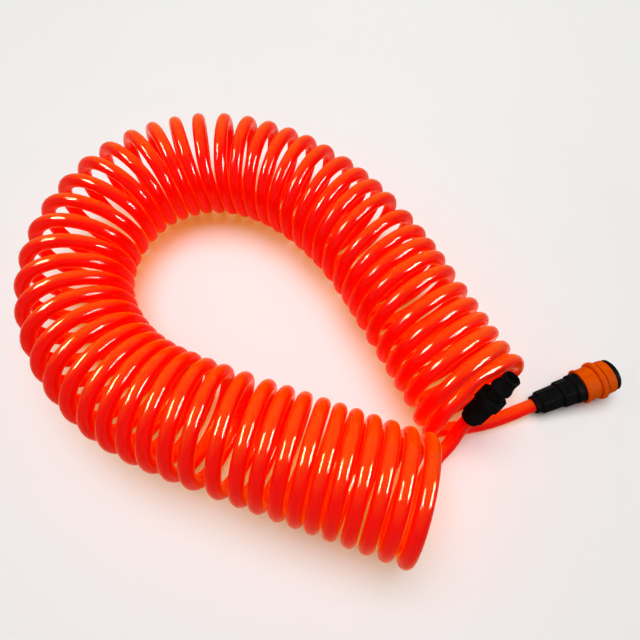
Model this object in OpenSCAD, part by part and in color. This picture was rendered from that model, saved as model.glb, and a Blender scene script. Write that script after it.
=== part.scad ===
// Coiled polyurethane air hose with a quick-release socket on one end and a plug on the other.
// The coil lies on its side in an open arch. Lengths are in millimetres.
// Both fittings are drawn along +Z from the rear face of their hose nut, then placed.

/* [Hose] */
// Outside diameter of the hose
hose_od = 12; // [11:0.5:13]
// Bore of the hose
hose_id = 8; // [7:0.5:9]
// Outside diameter of the coil
coil_od = 98; // [92:1:110]

/* [Hose nuts] */
// Length of a hose nut
nut_len = 25; // [22:1:30]
// Thickness of the nut's wall at its flats
nut_wall = 1.7; // [1.4:0.1:2.2]
// Length of the round rim at the back of a nut
nut_rim_len = 4; // [3:0.2:4.4]
// Wall of the threaded spigot inside the nut
spigot_wall = 1.6; // [1.4:0.1:2.2]
// Length of thread that holds a nut
thread_len = 6; // [4:1:8]
// Thickness of the thrust ring
thrust_t = 1.6; // [1.2:0.1:2]
// Length of the gripping collet
collet_len = 5.5; // [4.5:0.5:6]
// Number of slots in the collet
collet_slots = 6; // [4:1:8]
// Width of one slot in the collet
collet_slot_w = 1.2; // [0.8:0.1:1.6]

/* [Socket body] */
// Length of the hexagon on the hose adapter
adapter_hex_len = 12.5; // [10:0.5:16]
// Wall of the hexagon outside the nut's thread, at its flats
adapter_hex_wall = 3.3; // [2.6:0.1:4]
// Radius of the shell under the collar
shell_r = 11.6; // [11.4:0.1:13]
// Height of the smooth sleeve above the shell; the collar slides over it
sleeve_step = 1.8; // [1.7:0.1:2.4]
// Length of that sleeve
sleeve_len = 8.8; // [8.4:0.2:10]
// Length of the sleeve that stands out behind the collar
sleeve_bare = 7; // [6.2:0.2:7.4]
// Radius of the valve chamber
chamber_r = 8.2; // [7.8:0.1:8.6]
// Length of the adapter's spigot inside the shell
shell_joint_len = 8; // [7:0.5:10]
// Thickness of the valve seat
seat_t = 2; // [1.5:0.25:3]
// Hole through the valve seat
seat_r = 6; // [5.6:0.1:6.4]
// Length of the land that guides the plug's tip
land_len = 3; // [2.5:0.5:4]
// Thickness of the front ring's rim
front_rim_t = 1.2; // [0.8:0.1:2]
// Wall of the front ring round the shell
front_ring_wall = 2; // [1.4:0.1:2.4]

/* [Release collar] */
// Wall of the collar at its plain band
collar_wall = 1.45; // [1.35:0.05:2.4]
// Height of the collar's raised ring above that band
collar_bead_rise = 2.2; // [1.5:0.1:3.2]
// Travel of the collar
collar_travel = 5; // [4:0.5:6]
// Slope of the ramp inside the collar
ramp_slope = 0.16; // [0.14:0.01:0.17]
// Wire of the collar spring
collar_wire = 1.2; // [1:0.1:1.4]
// Turns of the collar spring
collar_spring_turns = 4; // [3:1:5]
// Room for the collar spring along the shell
collar_spring_len = 12; // [11:0.5:13]

/* [Locking claws] */
// Number of claws
claw_count = 4; // [3:1:4]
// Width of a claw
claw_w = 7.6; // [6:0.2:8]
// Length of a claw's lug
lug_len = 2.6; // [2:0.1:3]
// Length of a claw behind its lug
claw_len = 7.5; // [6.5:0.25:8]

/* [Valve] */
// Travel of the valve
valve_travel = 3; // [2:0.5:3.5]
// Thickness of the valve's head
valve_head_t = 1.7; // [1.4:0.1:2]
// Radius of the valve's stem
valve_stem_r = 1.8; // [1.4:0.1:2.2]
// Number of prongs on the valve
valve_prongs = 4; // [3:1:6]
// Wire of the valve spring
valve_wire = 0.9; // [0.7:0.1:1]
// Turns of the valve spring
valve_spring_turns = 5; // [4:1:6]
// Thickness of the valve guide
guide_t = 3.2; // [2.6:0.2:4]

/* [Seals] */
// Thickness of the O-ring that grips the plug
plug_seal_t = 2.3; // [1.9:0.1:2.5]
// Thickness of the O-ring between adapter and shell
body_seal_t = 1.8; // [1.4:0.1:2]
// Thickness of the valve's flat seal
valve_seal_t = 1.1; // [0.8:0.1:1.5]

/* [Plug] */
// Radius of the plug's tip
tip_r = 7; // [6.7:0.1:7.3]
// Length of the tip's straight part
tip_len = 7.6; // [7:0.2:9]
// Length of the cone behind the tip
cone_len = 5.8; // [5:0.2:7]
// Radius of the locking shoulder
shoulder_r = 8.7; // [8.5:0.05:8.8]
// Width of the locking shoulder
shoulder_w = 2.2; // [1.6:0.1:2.6]
// Radius of the locking groove
groove_r = 7.6; // [7.4:0.05:7.7]
// Length of the locking groove
groove_len = 9.4; // [8.5:0.1:10]
// Bore of the plug's mouth, as a radius
plug_bore_r = 5.3; // [4.8:0.1:5.6]
// Length of the plug's hexagon
plug_hex_len = 8.5; // [6:0.5:11]

/* [Fits] */
// Radial clearance of a sliding fit
slide_fit = 0.08; // [0.05:0.01:0.1]
// Gap between faces that seat on each other
seat_gap = 0.1; // [0.05:0.05:0.2]
// Clearance between parts that pass freely
free_gap = 0.25; // [0.2:0.05:0.4]

/* [Hidden] */

$fn = 72;
HOSE = "OrangeRed";
BLACK = [0.09, 0.09, 0.1];
COLLAR = "DarkOrange";
STEEL = "Silver";
RUBBER = [0.15, 0.15, 0.15];
BRASS = [0.75, 0.6, 0.3];

// How the coil lies: a straight lead, equal stretches that each bend by some degrees, a straight lead.
coil_start = [123, -80];
coil_heading = 117.5;
coil_lead_in = 112;
coil_stretch = 50;
coil_bends = [6, 10, 12, 16, 23, 25, 27, 20, 23, 22, 18, 17, 5];
coil_lead_out = 174;
coil_sides = 24;
bend_steps = 2;

// Free ends of the hose, from the coil to the straight run into each fitting.
hose_sides = 12;
steps_per_point = 2;
socket_end_route = [
    [113, -90, 90], [105, -95, 85], [95, -102, 74], [90, -105.5, 60], [90, -106, 46], [94, -106, 31],
    [101, -105, 18], [110, -103, 10], [121, -101, 6.6], [132, -100, 6.2], [143, -98, 6.2], [164, -92, 6.6]
];
plug_end_route = [
    [65, -196, 22], [69, -184, 11], [78, -165, 6.5], [89, -146, 6.2], [98, -133, 6.4], [106, -123, 7.8],
    [111.5, -118, 10.5], [116.5, -112, 15.5], [121, -106.5, 21.5]
];
socket_end_across = [-0.46, 0.89, 0];
plug_end_across = [0.94, -0.34, 0];

// Where each fitting lies: its axis starts at the rear face of the hose nut.
socket_yaw = 20;
socket_tilt = 7;
socket_roll = 22;
socket_xy = [193.5, -81];
plug_yaw = 42;
plug_tilt = 60;
plug_start = [127.5, -99, 35.5];

// ---- sizes that follow from the ones above ----
hose_r = hose_od / 2;
bore_r = hose_id / 2;
coil_r = coil_od / 2;

// inside the nuts
spigot_bore_r = hose_r + free_gap;
spigot_r = spigot_bore_r + spigot_wall;
nut_bore_r = spigot_r + slide_fit;
nut_flat = nut_bore_r + nut_wall;
nut_corner_r = nut_flat + 1.4;
nut_back_t = 4.5;
thrust_z = nut_back_t + seat_gap;
collet_z = thrust_z + thrust_t + seat_gap;
spigot_z = collet_z + collet_len + seat_gap;
hose_stop_z = nut_len - 4;
stem_r = bore_r - 0.05;
stem_bore_r = bore_r - 1.3;
stem_z = 2;
barbs = 3;
straight_run = thread_len + 2;

// socket stations, from the nut towards the mouth
hex_z = nut_len + seat_gap;
shell_z = hex_z + adapter_hex_len;
hex_flat = spigot_r + adapter_hex_wall;
hex_corner_r = hex_flat + 1.5;
joint_end_z = shell_z + shell_joint_len;
joint_r = chamber_r + 2.4;
joint_seal_z = shell_z + 4;
joint_seal_squeeze = 0.25;
sleeve_r = shell_r + sleeve_step;
guide_seat_z = shell_z - 2.4;
guide_end_z = guide_seat_z + seat_gap + guide_t;
seat_z = joint_end_z + 5.1;
seat_end_z = seat_z + seat_t;
seal_w = plug_seal_t + 0.1;
seal_wall = 0.7;
plug_room = tip_len + 1.7 - land_len - seal_w - seal_wall;
seal_z = seat_end_z + plug_room + seal_wall;
land_z = seal_z + seal_w;
land_r = tip_r + 0.1;
mouth_r = shoulder_r + 0.2;
mouth_taper = 2.5;
mouth_z = land_z + land_len + mouth_taper;
mate_gap = 0.4;
socket_len = land_z + land_len + cone_len + shoulder_w + groove_len - mate_gap;
shell_end_z = socket_len - front_rim_t;
sleeve_end_z = shell_z + sleeve_len;
plug_in_z = socket_len + mate_gap - groove_len - shoulder_w - cone_len - tip_len;

// locking claws
lug_z = socket_len + mate_gap - groove_len + 0.2;
lug_end_z = lug_z + lug_len;
lug_r = groove_r + 0.5;
claw_z = lug_z - claw_len;
claw_in_r = mouth_r + 0.6;
window_gap = 0.15;

// release collar
collar_in_r = sleeve_r + free_gap;
collar_r = collar_in_r + collar_wall;
collar_bead_r = collar_r + collar_bead_rise;
collar_guide_r = shell_r + slide_fit;
collar_z = shell_z + sleeve_bare;
front_ring_r = shell_r + front_ring_wall;
skirt_len = 1.1;
skirt_z = shell_end_z - skirt_len;
collar_end_z = skirt_z - free_gap;
step_z = sleeve_end_z + collar_spring_len;
ramp_z = claw_z - 2;
ramp_r = collar_guide_r + 0.3;
ramp_gap = 0.12;
bead_z = step_z + 4;
bead_w = 6.5;
front_band_z = bead_z + 5;
front_band_r = collar_r + 0.3;
band_groove_r = collar_r - 0.7;
lip_r = collar_r + 0.8;
lip_z = collar_z + 0.9;

// valve
valve_seal_z = seat_z - seat_gap - valve_seal_t;
valve_head_z = valve_seal_z - valve_head_t;
valve_head_r = chamber_r - 0.8;
prong_r = seat_r - 0.2;
prong_in_r = prong_r - 1.2;
prong_end_z = plug_in_z + valve_travel - 0.2;
valve_stem_end_z = guide_seat_z - valve_travel + 1;
valve_spring_r = valve_stem_r + 3.4;

// plug stations
plug_hex_z = nut_len + seat_gap;
plug_face_z = plug_hex_z + plug_hex_len;
shoulder_z = plug_face_z + groove_len;
cone_z = shoulder_z + shoulder_w;
tip_z = cone_z + cone_len;
plug_len = tip_z + tip_len;

// the socket rests on the lip at the back of its collar
socket_start = [
    socket_xy.x, socket_xy.y,
    lip_r * cos(socket_tilt) - lip_z * sin(socket_tilt) + 0.2
];

// ---- helpers ----
module at_socket() {
    translate(socket_start) rotate([0, 90 - socket_tilt, socket_yaw]) rotate([0, 0, socket_roll]) children();
}

module at_plug() {
    translate(plug_start) rotate([0, 90 - plug_tilt, plug_yaw]) children();
}

module turned(profile) {
    rotate_extrude() polygon(profile);
}

module ring(r_out, r_in, z0, z1) {
    turned([[r_in, z0], [r_out, z0], [r_out, z1], [r_in, z1]]);
}

module o_ring(r_mid, thick, z) {
    translate([0, 0, z]) rotate_extrude() translate([r_mid, 0]) circle(d = thick, $fn = 32);
}

// A hexagonal bar with its corners turned off and both ends chamfered
module hex_bar(flat, corner_r, z0, z1, chamfer) {
    intersection() {
        translate([0, 0, z0]) cylinder(h = z1 - z0, r = flat / cos(30), $fn = 6);
        turned([
            [0, z0], [corner_r - chamfer, z0], [corner_r, z0 + chamfer],
            [corner_r, z1 - chamfer], [corner_r - chamfer, z1], [0, z1]
        ]);
    }
}

// A coil spring between two seats; each end turn lies against its seat
module spring(mean_r, wire, turns, z0, z1) {
    sides = 8;
    per_turn = 18;
    count = turns * per_turn;
    rise = z1 - z0 - wire;
    lean = atan2(rise, turns * 360 * mean_r * PI / 180);
    points = [
        for (i = [0:count]) let (a = 360 * i / per_turn, z = z0 + wire / 2 + rise * i / count)
        for (k = [0:sides - 1]) let (b = 360 * k / sides, u = wire / 2 * cos(b), v = wire / 2 * sin(b))
        [
            (mean_r + u) * cos(a) + v * sin(lean) * sin(a),
            (mean_r + u) * sin(a) - v * sin(lean) * cos(a),
            z + v * cos(lean)
        ]
    ];
    polyhedron(points = points, faces = tube_faces(count + 1, sides));
}

// ---- swept tubes ----
function unit(v) = v / norm(v);

function tube_faces(rings, sides) = concat(
    [[for (k = [0:sides - 1]) k]],
    [
        for (i = [0:rings - 2]) for (k = [0:sides - 1])
        [i * sides + k, (i + 1) * sides + k, (i + 1) * sides + (k + 1) % sides, i * sides + (k + 1) % sides]
    ],
    [[for (k = [sides - 1:-1:0]) (rings - 1) * sides + k]]
);

function curve(a, b, c, d, t) = 0.5 * (
    2 * b + (c - a) * t + (2 * a - 5 * b + 4 * c - d) * t * t + (3 * b - a - 3 * c + d) * t * t * t
);

function smooth(route, steps) = let (n = len(route)) concat(
    [
        for (i = [0:n - 2]) for (s = [0:steps - 1])
        curve(
            i == 0 ? 2 * route[0] - route[1] : route[i - 1], route[i], route[i + 1],
            i == n - 2 ? 2 * route[n - 1] - route[n - 2] : route[i + 2], s / steps
        )
    ],
    [route[n - 1]]
);

function heading_at(path, i) = unit(path[min(i + 1, len(path) - 1)] - path[max(i - 1, 0)]);

function ring_points(centre, along, across, r, sides) = let (
    u = unit(cross(along, across)), v = cross(along, u)
) [for (k = [0:sides - 1]) centre + r * (cos(360 * k / sides) * u + sin(360 * k / sides) * v)];

module swept(path, last_along, across, r, sides) {
    points = [
        for (i = [0:len(path) - 1])
        each ring_points(path[i], i == len(path) - 1 ? last_along : heading_at(path, i), across, r, sides)
    ];
    polyhedron(points = points, faces = tube_faces(len(path), sides));
}

function direction(yaw, tilt) = [cos(tilt) * cos(yaw), cos(tilt) * sin(yaw), sin(tilt)];

// ---- the coil ----
stretches = concat(
    [[coil_lead_in, 0, 1]],
    [for (b = coil_bends) [coil_stretch, b, bend_steps]],
    [[coil_lead_out, 0, 1]]
);

function arc_step(p, h, length, turn) = let (half = turn / 2, k = turn == 0 ? 1 : sin(half) / (half * PI / 180))
    p + length * k * [cos(h + half), sin(h + half)];

function coil_walk(i, p, h) = i == len(stretches) ? [[p, h]] : let (
    s = stretches[i], n = s[2],
    here = [for (k = [0:n - 1]) [arc_step(p, h, s[0] * k / n, s[1] * k / n), h + s[1] * k / n]]
) concat(here, coil_walk(i + 1, arc_step(p, h, s[0], s[1]), h + s[1]));

coil_path = coil_walk(0, coil_start, coil_heading);

// One ring of the coil's solid, with a flat side down
function coil_ring(p, h) = let (corner = coil_r / cos(180 / coil_sides)) [
    for (k = [0:coil_sides - 1]) let (a = -360 * (k + 0.5) / coil_sides - 90)
    [p.x + corner * cos(a) * sin(h), p.y - corner * cos(a) * cos(h), coil_r + corner * sin(a)]
];

// The outer shape of the coil's turns
module hose_coil() {
    points = [for (q = coil_path) each coil_ring(q[0], q[1])];
    color(HOSE) polyhedron(points = points, faces = tube_faces(len(coil_path), coil_sides));
}

// The last stretch of hose, straight into the nut and over the barbed stem
module hose_in_fitting() {
    difference() {
        translate([0, 0, -straight_run]) cylinder(h = hose_stop_z - seat_gap + straight_run, r = hose_r);
        translate([0, 0, stem_z - 1]) cylinder(h = hose_stop_z, r = bore_r);
    }
}

module hose_end(route, start, yaw, tilt, across) {
    along = direction(yaw, tilt);
    path = smooth(concat(route, [start - (straight_run - 1) * along]), steps_per_point);
    swept(path, along, across, hose_r - 0.05, hose_sides);
}

module hose_end_socket() {
    color(HOSE) {
        hose_end(socket_end_route, socket_start, socket_yaw, socket_tilt, socket_end_across);
        at_socket() hose_in_fitting();
    }
}

module hose_end_plug() {
    color(HOSE) {
        hose_end(plug_end_route, plug_start, plug_yaw, plug_tilt, plug_end_across);
        at_plug() hose_in_fitting();
    }
}

// ---- hose nut and what it presses, the same on both fittings ----
module hose_nut() {
    rim_r = nut_flat - 1.4;
    hex_start = nut_rim_len + 0.6;
    difference() {
        union() {
            turned([[0, 0], [rim_r - 0.6, 0], [rim_r, 0.6], [rim_r, hex_start + 1], [0, hex_start + 1]]);
            intersection() {
                translate([0, 0, hex_start]) cylinder(h = nut_len - hex_start, r = nut_flat / cos(30), $fn = 6);
                turned([
                    [0, hex_start], [nut_flat - 0.9, hex_start], [nut_corner_r - 0.6, hex_start + 1.8],
                    [nut_corner_r, nut_len - 0.6], [nut_corner_r - 0.6, nut_len], [0, nut_len]
                ]);
            }
        }
        translate([0, 0, -1]) cylinder(h = nut_back_t + 2, r = hose_r + free_gap);
        turned([
            [0, nut_back_t], [spigot_r - 0.4, nut_back_t], [spigot_r - 0.4, collet_z],
            [nut_bore_r, collet_z + collet_len], [nut_bore_r, nut_len + 1], [0, nut_len + 1]
        ]);
    }
}

module thrust_ring() {
    ring(spigot_r - 0.4 - free_gap, hose_r + free_gap, thrust_z, thrust_z + thrust_t);
}

module collet() {
    difference() {
        turned([
            [hose_r + 0.05, collet_z], [spigot_r - 0.4 - 2 * free_gap, collet_z],
            [spigot_r - free_gap, collet_z + collet_len], [hose_r + 0.05, collet_z + collet_len]
        ]);
        for (i = [0:collet_slots - 1]) rotate([0, 0, 360 * i / collet_slots])
            translate([0, -collet_slot_w / 2, collet_z + 1.4]) cube([spigot_r + 1, collet_slot_w, collet_len]);
    }
}

// Barbed stem inside the hose and the threaded spigot round it
module hose_stem(end_z) {
    pitch = (hose_stop_z - stem_z) / (barbs + 1);
    turned(concat(
        [[stem_bore_r, stem_z], [stem_r - 0.9, stem_z]],
        [
            for (i = [0:barbs - 1]) each [
                [stem_r, stem_z + (i + 0.8) * pitch], [stem_r - 0.6, stem_z + (i + 0.82) * pitch]
            ]
        ],
        [[stem_r - 0.6, hose_stop_z], [stem_r - 0.6, end_z], [stem_bore_r, end_z]]
    ));
    ring(spigot_r, stem_bore_r, hose_stop_z, end_z);
    ring(spigot_r, spigot_bore_r, spigot_z, hose_stop_z + 0.1);
}

// ---- socket ----
module socket_nut() {
    color(BLACK) at_socket() hose_nut();
}

module socket_thrust_ring() {
    color(BRASS) at_socket() thrust_ring();
}

module socket_collet() {
    color(STEEL) at_socket() collet();
}

module socket_adapter() {
    seal_floor_r = joint_r - body_seal_t + joint_seal_squeeze;
    color(BLACK) at_socket() difference() {
        union() {
            hose_stem(hex_z + 1);
            hex_bar(hex_flat, hex_corner_r, hex_z, shell_z, 1);
            turned([
                [0, hex_z + 2], [joint_r - 0.5, hex_z + 2], [joint_r - 0.5, shell_z], [joint_r, shell_z],
                [joint_r, joint_end_z - 0.5], [joint_r - 0.5, joint_end_z], [0, joint_end_z]
            ]);
        }
        turned([
            [0, hose_stop_z], [stem_bore_r, hose_stop_z], [stem_bore_r, hex_z + 2],
            [stem_bore_r + 1.6, guide_seat_z - 2], [chamber_r - 1.2, guide_seat_z],
            [chamber_r, guide_seat_z], [chamber_r, joint_end_z + 1], [0, joint_end_z + 1]
        ]);
        ring(joint_r + 1, seal_floor_r, joint_seal_z, joint_seal_z + body_seal_t + 0.2);
    }
}

// Drawn squeezed between the floor of its groove and the shell's bore
module adapter_seal() {
    room = body_seal_t - joint_seal_squeeze + slide_fit;
    color(RUBBER) at_socket()
        o_ring(joint_r + slide_fit - room / 2, room - 0.04, joint_seal_z + 0.1 + body_seal_t / 2);
}

module socket_shell() {
    color(BLACK) at_socket() difference() {
        union() {
            turned([
                [0, shell_z + seat_gap], [sleeve_r - 0.8, shell_z + seat_gap], [sleeve_r, shell_z + seat_gap + 0.8],
                [sleeve_r, sleeve_end_z], [0, sleeve_end_z]
            ]);
            turned([[0, sleeve_end_z - 1], [shell_r, sleeve_end_z - 1], [shell_r, shell_end_z], [0, shell_end_z]]);
        }
        turned([
            [0, shell_z - 1], [joint_r + slide_fit, shell_z - 1], [joint_r + slide_fit, joint_end_z + seat_gap],
            [chamber_r, joint_end_z + seat_gap], [chamber_r, seat_z], [seat_r, seat_z], [seat_r, seat_end_z],
            [land_r + 0.2, seat_end_z], [land_r + 0.2, seal_z - seal_wall], [land_r, seal_z - seal_wall],
            [land_r, seal_z], [land_r + plug_seal_t, seal_z], [land_r + plug_seal_t, land_z], [land_r, land_z],
            [land_r, land_z + land_len], [mouth_r, mouth_z], [mouth_r, shell_end_z + 1], [0, shell_end_z + 1]
        ]);
        for (i = [0:claw_count - 1]) rotate([0, 0, claw_angle(i)])
            translate([0, -claw_w / 2 - window_gap, claw_z - window_gap])
                cube([shell_r + 2, claw_w + 2 * window_gap, lug_end_z - claw_z + 2 * window_gap]);
    }
}

function claw_angle(i) = 45 + 360 * i / claw_count;

// Collar ramp at height z
function ramp_at(z) = ramp_r + ramp_slope * (z - ramp_z);

module lock_claw(i) {
    bevel = 0.9;
    color(BLACK) at_socket() if (i < claw_count) rotate([0, 0, claw_angle(i)]) intersection() {
        turned([
            [claw_in_r, claw_z], [ramp_at(claw_z) - ramp_gap, claw_z],
            [ramp_at(lug_end_z) - ramp_gap, lug_end_z], [lug_r + bevel, lug_end_z],
            [lug_r, lug_end_z - bevel], [lug_r, lug_z], [claw_in_r, lug_z]
        ]);
        translate([0, -claw_w / 2, claw_z - 1]) cube([ramp_at(lug_end_z) + 2, claw_w, lug_end_z - claw_z + 2]);
    }
}

module valve_guide() {
    ports = 3;
    color(BLACK) at_socket() difference() {
        ring(chamber_r - 0.1, valve_stem_r + slide_fit, guide_seat_z + seat_gap, guide_end_z);
        for (i = [0:ports - 1]) rotate([0, 0, 360 * i / ports + 60]) translate([0, 0, guide_seat_z - 1])
            intersection() {
                ring(chamber_r - 1.6, valve_stem_r + 1.8, 0, guide_t + 3);
                translate([0, -2.4, 0]) cube([chamber_r, 4.8, guide_t + 3]);
            }
    }
}

module valve_spring() {
    color(STEEL) at_socket() spring(
        valve_spring_r, valve_wire, valve_spring_turns, guide_end_z + seat_gap, valve_head_z - seat_gap
    );
}

module valve_poppet() {
    color(BRASS) at_socket() difference() {
        union() {
            turned([
                [0, valve_stem_end_z], [valve_stem_r - 0.4, valve_stem_end_z],
                [valve_stem_r, valve_stem_end_z + 0.4], [valve_stem_r, valve_head_z - 1.2],
                [valve_stem_r + 1.2, valve_head_z], [valve_head_r - 0.3, valve_head_z],
                [valve_head_r, valve_head_z + 0.3], [valve_head_r, valve_seal_z],
                [prong_r - 0.1, valve_seal_z], [prong_r - 0.1, seat_z], [0, seat_z]
            ]);
            ring(prong_r, prong_in_r, seat_z - 0.5, prong_end_z);
        }
        for (i = [0:valve_prongs - 1]) rotate([0, 0, 360 * i / valve_prongs])
            translate([0, -1.8, seat_z + 0.6]) cube([prong_r + 1, 3.6, prong_end_z - seat_z]);
    }
}

module valve_seal() {
    color(RUBBER) at_socket()
        ring(valve_head_r - 0.1, prong_r + 0.05, valve_seal_z + 0.02, valve_seal_z + valve_seal_t);
}

module plug_seal() {
    color(RUBBER) at_socket() o_ring(land_r + plug_seal_t / 2 + 0.03, plug_seal_t - 0.08, seal_z + seal_w / 2);
}

module collar_spring() {
    inner_room = collar_in_r - shell_r;
    color(STEEL) at_socket() spring(
        shell_r + inner_room / 2, collar_wire, collar_spring_turns, sleeve_end_z + seat_gap, step_z - seat_gap
    );
}

module release_collar() {
    color(COLLAR) at_socket() difference() {
        union() {
            turned([
                [0, collar_z], [collar_r, collar_z], [collar_r, bead_z], [band_groove_r, bead_z + 2],
                [band_groove_r, front_band_z], [front_band_r, front_band_z + 0.8],
                [front_band_r, collar_end_z - 2], [front_band_r - 0.6, collar_end_z], [0, collar_end_z]
            ]);
            o_ring(lip_r - 0.8, 1.6, lip_z);
            translate([0, 0, bead_z]) rotate_extrude() translate([collar_bead_r - bead_w / 2, 0])
                circle(d = bead_w, $fn = 48);
        }
        turned([
            [0, collar_z - 1], [collar_in_r, collar_z - 1], [collar_in_r, step_z],
            [collar_guide_r, step_z], [collar_guide_r, ramp_z], [ramp_at(ramp_z), ramp_z],
            [ramp_at(collar_end_z + 1), collar_end_z + 1], [0, collar_end_z + 1]
        ]);
    }
}

module front_ring() {
    color(BLACK) at_socket() turned([
        [shell_r + 0.02, skirt_z], [front_ring_r - 0.5, skirt_z], [front_ring_r, skirt_z + 0.5],
        [front_ring_r, socket_len - 1], [front_ring_r - 1, socket_len], [mouth_r + 0.8, socket_len],
        [mouth_r, socket_len - 0.8], [mouth_r, shell_end_z + 0.02], [shell_r + 0.02, shell_end_z + 0.02]
    ]);
}

// ---- plug ----
module plug_nut() {
    color(BLACK) at_plug() hose_nut();
}

module plug_thrust_ring() {
    color(BRASS) at_plug() thrust_ring();
}

module plug_collet() {
    color(STEEL) at_plug() collet();
}

module plug_body() {
    throat_z = plug_face_z + 2;
    color(BLACK) at_plug() difference() {
        union() {
            hose_stem(plug_hex_z + 1);
            hex_bar(hex_flat, hex_corner_r, plug_hex_z, plug_face_z, 1);
            turned([
                [0, plug_hex_z + 1], [groove_r, plug_hex_z + 1], [groove_r, shoulder_z], [shoulder_r, shoulder_z],
                [shoulder_r, cone_z], [tip_r, tip_z], [tip_r, plug_len - 0.6], [tip_r - 0.6, plug_len],
                [0, plug_len]
            ]);
        }
        turned([
            [0, hose_stop_z], [stem_bore_r, hose_stop_z], [stem_bore_r, throat_z], [plug_bore_r, throat_z + 3],
            [plug_bore_r, plug_len + 1], [0, plug_len + 1]
        ]);
    }
}

hose_coil();
hose_end_socket();
hose_end_plug();
socket_nut();
socket_thrust_ring();
socket_collet();
socket_adapter();
adapter_seal();
socket_shell();
valve_guide();
valve_spring();
valve_poppet();
valve_seal();
plug_seal();
lock_claw(0);  // lock_claw_1
lock_claw(1);  // lock_claw_2
lock_claw(2);  // lock_claw_3
lock_claw(3);  // lock_claw_4
collar_spring();
release_collar();
front_ring();
plug_nut();
plug_thrust_ring();
plug_collet();
plug_body();
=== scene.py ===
"""Studio scene of a coiled air hose with a quick-release socket and a matching plug.

The hose is one mesh tube, from the socket's nut through every turn of the coil to the plug's nut. The
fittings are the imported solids, each in its own finish. The collar and the front ring, the two pieces most
in view, are turned with rounded edges, and the socket's two springs are wound from round wire.
"""

import logging
import math
from dataclasses import dataclass, field
from enum import Enum

import bmesh
import bpy
import numpy as np
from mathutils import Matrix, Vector


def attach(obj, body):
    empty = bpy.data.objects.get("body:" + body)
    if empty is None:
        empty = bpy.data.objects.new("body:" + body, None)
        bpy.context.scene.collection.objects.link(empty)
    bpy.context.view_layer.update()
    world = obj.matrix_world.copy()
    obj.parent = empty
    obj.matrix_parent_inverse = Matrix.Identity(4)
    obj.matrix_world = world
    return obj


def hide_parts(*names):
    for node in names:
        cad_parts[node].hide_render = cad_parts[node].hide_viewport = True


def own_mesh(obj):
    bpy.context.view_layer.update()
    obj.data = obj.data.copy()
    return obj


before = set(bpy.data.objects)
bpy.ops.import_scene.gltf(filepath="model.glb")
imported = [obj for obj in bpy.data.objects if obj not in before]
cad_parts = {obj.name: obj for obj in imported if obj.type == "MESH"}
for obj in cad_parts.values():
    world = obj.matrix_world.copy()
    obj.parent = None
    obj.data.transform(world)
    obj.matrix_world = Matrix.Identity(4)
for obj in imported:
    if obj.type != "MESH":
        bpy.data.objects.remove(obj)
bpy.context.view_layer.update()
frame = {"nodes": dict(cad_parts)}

# Types that many signatures share
NodeSocket = bpy.types.NodeSocket
Pair = tuple[float, float]
Triple = tuple[float, float, float]

log = logging.getLogger("air_hose")
# Metres in a millimetre
MM = 0.001
# Outside width of the hose, in millimetres
HOSE_WIDTH = 12.4
# Colour of everything behind the object, as linear RGB
BACKGROUND = (0.875, 0.85, 0.83)
# The part of its range that a noise mostly keeps to
NOISE_MIDDLE = (0.3, 0.7)


class Slot(Enum):
    """Material slots of the part."""

    HOSE = "hose"
    BLACK = "black_plastic"
    ORANGE = "orange_plastic"
    WHITE = "white_plastic"
    STEEL = "spring_steel"
    RUBBER = "seal_rubber"


class Body(Enum):
    """Bodies of the part that carry the pieces made here."""

    FIXED = "hose_and_fittings"
    COLLAR = "collar"


class LampUse(Enum):
    """What a lamp is for, with the switch that is turned off for it."""

    SHINE = "visible_diffuse"
    LIGHT = "visible_glossy"


# ---------------------------------------------------------------- node helpers


def combine(
    tree: bpy.types.NodeTree, operation: str, first: NodeSocket, second: NodeSocket, clamp: bool = False
) -> NodeSocket:
    """Combines two values.

    Args:
        tree: Node tree of a material or of the world.
        operation: ADD or MULTIPLY.
        first: Socket with the first value.
        second: Socket with the second value.
        clamp: Whether the result is kept between 0 and 1.

    Returns:
        The socket with the result.
    """
    node = tree.nodes.new("ShaderNodeMath")
    node.operation = operation
    node.use_clamp = clamp
    tree.links.new(first, node.inputs[0])
    tree.links.new(second, node.inputs[1])
    return node.outputs[0]


def looked_at(tree: bpy.types.NodeTree) -> NodeSocket:
    """Tells looking rays from lighting rays.

    Args:
        tree: Node tree of a material or of the world.

    Returns:
        The socket that is 1 for camera, glossy and transmission rays, and 0 for light.
    """
    path = tree.nodes.new("ShaderNodeLightPath")
    total = path.outputs["Is Camera Ray"]
    for kind in ("Is Glossy Ray", "Is Transmission Ray"):
        total = combine(tree, "ADD", total, path.outputs[kind], clamp=True)
    return total


def mix_to_output(
    tree: bpy.types.NodeTree, output: str, share: NodeSocket, base: NodeSocket, over: NodeSocket
) -> None:
    """Mixes two shaders into the tree's output.

    Args:
        tree: Node tree of a material or of the world.
        output: Name of its output node.
        share: Socket with the share of the second shader.
        base: Socket with the first shader.
        over: Socket with the second shader.
    """
    mix = tree.nodes.new("ShaderNodeMixShader")
    for source, place in zip((share, base, over), mix.inputs):
        tree.links.new(source, place)
    tree.links.new(mix.outputs[0], tree.nodes[output].inputs["Surface"])


@dataclass(frozen=True)
class Relief:
    """One layer of fine unevenness.

    Attributes:
        scale: Repeats per metre.
        detail: Octaves of its noise.
        depth: Height of a full step, in metres.
        strength: Share of it that shows.
    """

    scale: float
    detail: float
    depth: float
    strength: float


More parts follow.
